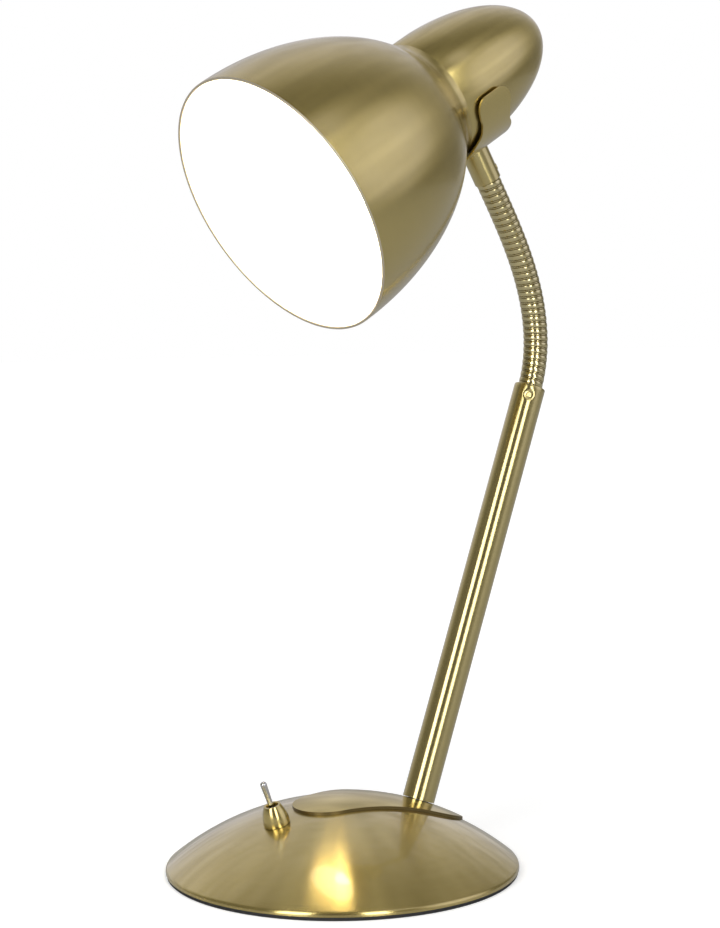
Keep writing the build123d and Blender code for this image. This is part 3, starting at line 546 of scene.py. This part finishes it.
def hose_course(below, above, first, last, share):
    """Centre and direction of the hose part of the way along a length that bends evenly."""
    turn = below.angle(above)
    if turn <= STRAIGHT:
        return first.lerp(last, share), below
    bend = (LINK / 2) / math.tan(turn / 2)
    inward = (above - below * above.dot(below)).normalized()
    pivot = first + inward * bend
    now = turn * share
    middle = pivot - inward * (bend * math.cos(now)) + below * (bend * math.sin(now))
    return middle, below * math.cos(now) + inward * math.sin(now)


def hose_mesh(i, first, last):
    """Length of the wound hose across one joint, with the depth of its grooves for the painted shade in
    them.
    """
    verts, faces, grooves = [], [], []
    side = Vector((1, 0, 0))
    for step in range(LENGTH_STEPS + 1):
        share = step / LENGTH_STEPS
        middle, direction = hose_course(joint_below[i], joint_above[i], first, last, share)
        across = direction.cross(side)
        for k in range(ROUND_STEPS):
            around = 2 * math.pi * k / ROUND_STEPS
            radius = wire_radius((i + share) * LINK, around)
            spot = middle + (side * math.cos(around) + across * math.sin(around)) * radius
            verts.append(spot * MM)
            # Painted shade: the deeper the groove, the darker the hose there.
            grooves.append(((RIB_RADIUS - radius) / (RIB_RADIUS - VALLEY)) ** GROOVE_SHADE_POWER)
    for step in range(LENGTH_STEPS):
        low, high = step * ROUND_STEPS, (step + 1) * ROUND_STEPS
        for k in range(ROUND_STEPS):
            m = (k + 1) % ROUND_STEPS
            faces.append((low + k, low + m, high + m, high + k))
    mesh = bpy.data.meshes.new(f"hose_{i + 1:02d}")
    mesh.from_pydata(verts, [], faces)
    finish_mesh(mesh, sharp=30)
    mesh.attributes.new("groove", "FLOAT", "POINT").data.foreach_set("value", grooves)
    mesh.materials.append(brass_neck)
    return mesh


for i in range(JOINTS):
    first = joint_places[i] - joint_below[i] * (LINK / 2)
    last = joint_places[i] + joint_above[i] * (LINK / 2)
    mesh = hose_mesh(i, first, last)
    hose = bpy.data.objects.new(mesh.name, mesh)
    bpy.context.scene.collection.objects.link(hose)
    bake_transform(hose)
    replaced = [f"neck_link_{i + 1:02d}"] if i < JOINTS - 1 else ["neck_top_fitting"]
    if i == 0:
        replaced.append("neck_base_fitting")
    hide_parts(*replaced)

# Floor: pale, a little brighter far from the lamp so that it runs into the white background
FLOOR_REACH, FLOOR_ROUGHNESS, FLOOR_SPECULAR = 12.0, 0.9, 0.1
FLOOR_TONE, FLOOR_TONE_MIRRORED = 0.82, 0.36
GLOW_FIRST, GLOW_LAST = 0.1, 0.7
GLOW_NEAR, GLOW_FAR, GLOW_MIRRORED = 0.42, 0.62, 0.2
floor_mesh = bpy.data.meshes.new("floor")
corners = [(x * FLOOR_REACH, y * FLOOR_REACH, 0) for x, y in ((-1, -1), (1, -1), (1, 1), (-1, 1))]
floor_mesh.from_pydata(corners, [], [(0, 1, 2, 3)])
floor = bpy.data.objects.new("floor", floor_mesh)
bpy.context.scene.collection.objects.link(floor)
floor_material, floor_tree, floor_shader = new_material("floor_pale")
floor_shader.inputs["Roughness"].default_value = FLOOR_ROUGHNESS
floor_shader.inputs["Specular IOR Level"].default_value = FLOOR_SPECULAR
floor_shader.inputs["Emission Color"].default_value = (1, 1, 1, 1)
distance = add(floor_tree, "ShaderNodeVectorMath", operation="LENGTH")
floor_tree.links.new(add(floor_tree, "ShaderNodeNewGeometry").outputs["Position"], distance.inputs[0])
brighten = add(floor_tree, "ShaderNodeMapRange", interpolation_type="SMOOTHSTEP")
floor_tree.links.new(distance.outputs["Value"], brighten.inputs["Value"])
brighten.inputs["From Min"].default_value = GLOW_FIRST
brighten.inputs["From Max"].default_value = GLOW_LAST
brighten.inputs["To Min"].default_value = GLOW_NEAR
brighten.inputs["To Max"].default_value = GLOW_FAR
floor_path = add(floor_tree, "ShaderNodeLightPath")
mirrored_floor = floor_path.outputs["Is Glossy Ray"]
floor_tone = ramp(floor_tree, mirrored_floor, FLOOR_TONE, FLOOR_TONE_MIRRORED)
floor_tree.links.new(floor_tone, floor_shader.inputs["Base Color"])
dimmer = ramp(floor_tree, mirrored_floor, 1.0, GLOW_MIRRORED)
shine = maths(floor_tree, "MULTIPLY", brighten.outputs["Result"], dimmer)
floor_tree.links.new(shine, floor_shader.inputs["Emission Strength"])
floor_mesh.materials.append(floor_material)

# Light
scene = bpy.context.scene
scene.view_settings.view_transform = "Standard"
world = bpy.data.worlds.new("studio")
scene.world = world
world.use_nodes = True
tree = world.node_tree
background = tree.nodes["Background"]
path = add(tree, "ShaderNodeLightPath")
seen = maths(tree, "MAXIMUM", path.outputs["Is Camera Ray"], path.outputs["Is Transmission Ray"])
direction = add(tree, "ShaderNodeTexCoord").outputs["Generated"]
CAMERA_SIDE = 53.7  # degrees from the lamp's front to the camera
STUDIO, DIFFUSE_LEVEL = 0.2, 0.6
CLUTTER_LENGTH, CLUTTER_SCALE, CLUTTER_LOW, CLUTTER_HIGH = 8.0, 16.0, 0.25, 1.75
DIM_TINT, PALE_TINT, TINT_GAIN = (1.0, 0.95, 0.78, 1), (1.0, 1.0, 1.2, 1), 1.6


def from_camera(turn, rise):
    """Direction in the studio: degrees to the right of the camera's side and above the horizon."""
    around, above = math.radians(CAMERA_SIDE + turn), math.radians(rise)
    return (math.sin(around) * math.cos(above), -math.cos(around) * math.cos(above), math.sin(above))


def panel(centre, inner, outer, level):
    """Round part of the studio with a soft edge; its inner and outer half angles are in degrees."""
    closeness = add(tree, "ShaderNodeVectorMath", operation="DOT_PRODUCT")
    tree.links.new(direction, closeness.inputs[0])
    closeness.inputs[1].default_value = centre
    node = add(tree, "ShaderNodeMapRange", interpolation_type="SMOOTHSTEP")
    tree.links.new(closeness.outputs["Value"], node.inputs["Value"])
    node.inputs["From Min"].default_value = math.cos(math.radians(outer))
    node.inputs["From Max"].default_value = math.cos(math.radians(inner))
    node.inputs["To Max"].default_value = level
    return node.outputs["Result"]


# Metal shows a grey studio: a window and a skylight on the right, a pale wall behind and a darker part
# round the camera
window = panel(from_camera(80, 22), inner=12, outer=34, level=0.66)
skylight = panel(from_camera(46, 52), inner=6, outer=16, level=0.5)
wall = panel(from_camera(-165, 32), inner=25, outer=62, level=0.4)
near = panel(from_camera(0, 10), inner=6, outer=26, level=0.1)
pale = maths(tree, "ADD", maths(tree, "ADD", window, skylight), wall)
even = maths(tree, "SUBTRACT", maths(tree, "ADD", pale, STUDIO), near)
# Its clutter is drawn out along the shade, and shows there as streaks from the rim to the waist
clutter_frame = add(tree, "ShaderNodeMapping", vector_type="TEXTURE")
tree.links.new(direction, clutter_frame.inputs["Vector"])
clutter_frame.inputs["Rotation"].default_value = (math.radians(HEAD_TILT), 0, 0)
clutter_frame.inputs["Scale"].default_value = (1.0, CLUTTER_LENGTH, 1.0)
clutter = noise(tree, clutter_frame.outputs["Vector"], CLUTTER_SCALE, detail=1.0)
studio = maths(tree, "MULTIPLY", even, ramp(tree, clutter, CLUTTER_LOW, CLUTTER_HIGH))
glossy = maths(tree, "MULTIPLY", path.outputs["Is Glossy Ray"], studio)
shown = maths(tree, "MAXIMUM", seen, glossy)
mirrored = maths(tree, "MAXIMUM", seen, path.outputs["Is Glossy Ray"])
diffuse = maths(tree, "MULTIPLY", maths(tree, "SUBTRACT", 1.0, mirrored), DIFFUSE_LEVEL)
tree.links.new(maths(tree, "ADD", shown, diffuse), background.inputs["Strength"])
# The dim parts are a little warmer than the pale ones
warmth = add(tree, "ShaderNodeMix", data_type="RGBA")
tree.links.new(maths(tree, "MULTIPLY", pale, TINT_GAIN), warmth.inputs["Factor"])
warmth.inputs["A"].default_value = DIM_TINT
warmth.inputs["B"].default_value = PALE_TINT
tint = add(tree, "ShaderNodeMix", data_type="RGBA")
tree.links.new(path.outputs["Is Glossy Ray"], tint.inputs["Factor"])
tint.inputs["A"].default_value = (1, 1, 1, 1)
tree.links.new(warmth.outputs["Result"], tint.inputs["B"])
tree.links.new(tint.outputs["Result"], background.inputs["Color"])


def softbox(name, location, target, size, power):
    """Rectangular light that faces a target."""
    light = bpy.data.lights.new(name, "AREA")
    light.shape = "RECTANGLE"
    light.size, light.size_y = size
    light.energy = power
    obj = bpy.data.objects.new(name, light)
    obj.location = location
    obj.rotation_mode = "QUATERNION"
    obj.rotation_quaternion = (Vector(target) - Vector(location)).to_track_quat("-Z", "Y")
    scene.collection.objects.link(obj)


# Two tall softboxes stand beside the camera and give the column its pair of bright lines
SOFTBOX_REACH, SOFTBOX_RISE, SOFTBOX_HEIGHT = 1.6, 0.55, 1.5
SOFTBOX_TARGET = (0, 0, 0.3)
SOFTBOXES = (("softbox_left", -31, 0.6, 12.5), ("softbox_right", 21, 0.45, 9.6))
for name, turn, width, power in SOFTBOXES:
    toward = math.radians(CAMERA_SIDE + turn)
    spot = (SOFTBOX_REACH * math.sin(toward), -SOFTBOX_REACH * math.cos(toward), SOFTBOX_RISE)
    softbox(name, spot, SOFTBOX_TARGET, (width, SOFTBOX_HEIGHT), power)

# Camera, fitted to the base, the rim and the column of the photograph
LENS, SENSOR = 77.68, 36.0
AZIMUTH, YAW, PITCH, ROLL = 53.72, -0.62, 4.05, -0.56
REACH, EYE = 0.95, 0.26316
camera = bpy.data.cameras.new("photo_camera")
camera.lens = LENS
camera.sensor_width = SENSOR
camera.clip_start, camera.clip_end = 0.01, 100
camera_object = bpy.data.objects.new("photo_camera", camera)
stand, aim = math.radians(AZIMUTH), math.radians(AZIMUTH + YAW)
pitch, roll = math.radians(PITCH), math.radians(ROLL)
forward = Vector((-math.sin(aim) * math.cos(pitch), math.cos(aim) * math.cos(pitch), -math.sin(pitch)))
right = Vector((math.cos(aim), math.sin(aim), 0))
up = right.cross(forward)
right = right * math.cos(roll) + up * math.sin(roll)
up = right.cross(forward)
rotation = Matrix((right, up, -forward)).transposed().to_4x4()
eye = Matrix.Translation((REACH * math.sin(stand), -REACH * math.cos(stand), EYE))
camera_object.matrix_world = eye @ rotation
scene.collection.objects.link(camera_object)
scene.camera = camera_object

bpy.context.view_layer.update()
